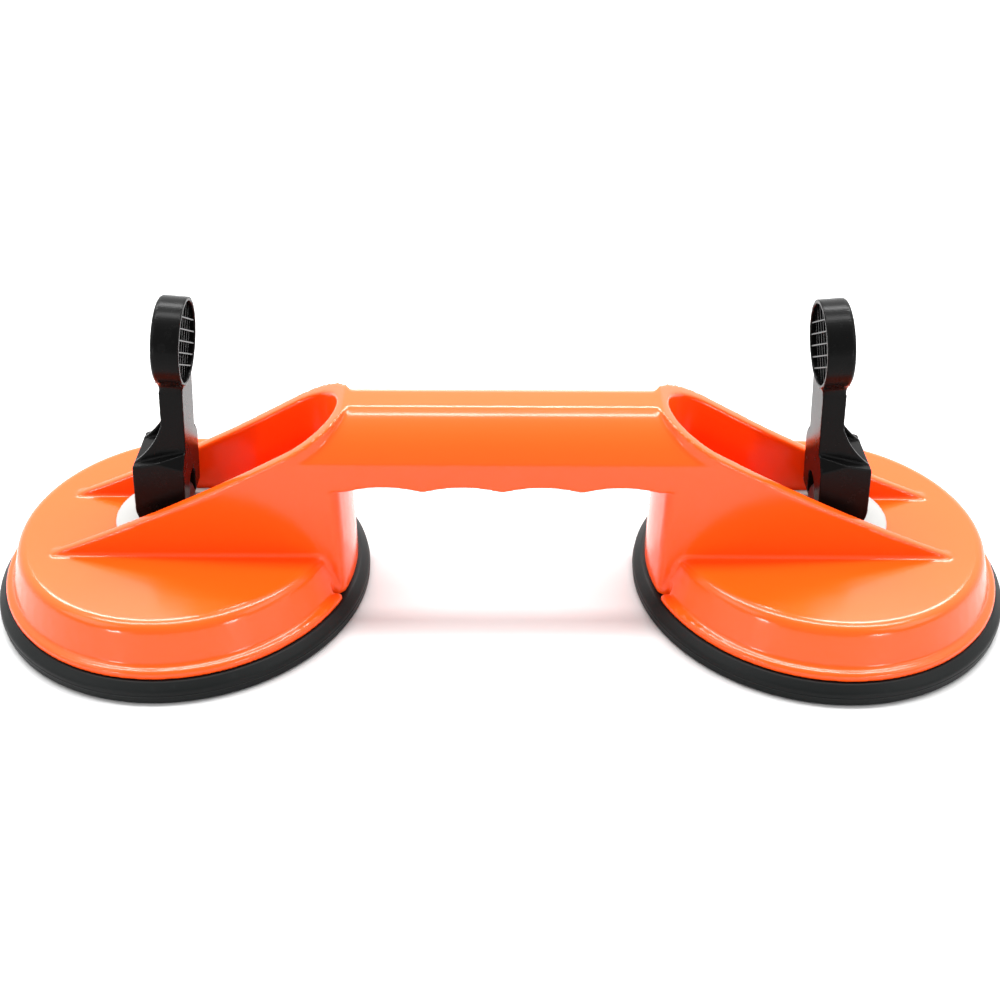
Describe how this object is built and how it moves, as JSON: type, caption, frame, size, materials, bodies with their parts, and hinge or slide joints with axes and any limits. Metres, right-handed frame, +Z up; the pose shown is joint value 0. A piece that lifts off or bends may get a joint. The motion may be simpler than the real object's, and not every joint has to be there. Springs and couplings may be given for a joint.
{
  "type": "suction lifter",
  "caption": "Double suction cup lifter with a bridge handle; a cam lever on each cup pulls its rubber pad up to grip a smooth floor tile.",
  "frame": {"origin": "floor level, midway between the two cups", "axes": "+X along the handle, +Y across it, +Z up from the tile"},
  "size_m": [0.322, 0.118, 0.1011],
  "materials": {
    "orange_shell": "glossy moulded ABS",
    "black_rubber": "satin moulded rubber",
    "zinc_steel": "zinc plated sheet",
    "bright_steel": "turned and zinc plated",
    "spring_steel": "drawn wire",
    "white_nylon": "smooth natural nylon",
    "black_nylon": "satin moulded nylon"
  },
  "bodies": {
    "frame": {"frame": "orange_shell", "rubber_pad_left": "black_rubber", "rubber_pad_right": "black_rubber", "cam_washer_left": "white_nylon", "cam_washer_right": "white_nylon"},
    "puller_left": {"backing_plate_left": "zinc_steel", "pull_stud_left": "bright_steel", "return_spring_left": "spring_steel"},
    "lever_left": {"cam_lever_left": "black_nylon", "pivot_pin_left": "bright_steel"},
    "puller_right": {"backing_plate_right": "zinc_steel", "pull_stud_right": "bright_steel", "return_spring_right": "spring_steel"},
    "lever_right": {"cam_lever_right": "black_nylon", "pivot_pin_right": "bright_steel"}
  },
  "joints": [
    {"name": "pull_left", "type": "slide", "parent": "frame", "child": "puller_left", "axis": [0, 0, 1], "range_m": [0, 0.0052], "deforming": ["return_spring_left"]},
    {"name": "flip_left", "type": "hinge", "parent": "puller_left", "child": "lever_left", "pos_m": [-0.102, 0, 0.0315], "axis": [0, -1, 0], "range_deg": [0, 95]},
    {"name": "pull_right", "type": "slide", "parent": "frame", "child": "puller_right", "axis": [0, 0, 1], "range_m": [0, 0.0052], "deforming": ["return_spring_right"]},
    {"name": "flip_right", "type": "hinge", "parent": "puller_right", "child": "lever_right", "pos_m": [0.102, 0, 0.0315], "axis": [0, 1, 0], "range_deg": [0, 95]}
  ],
  "couplings": [
    {"joint": "flip_left", "follows": "pull_left", "rad_per_m": 318.85},
    {"joint": "flip_right", "follows": "pull_right", "rad_per_m": 318.85}
  ]
}
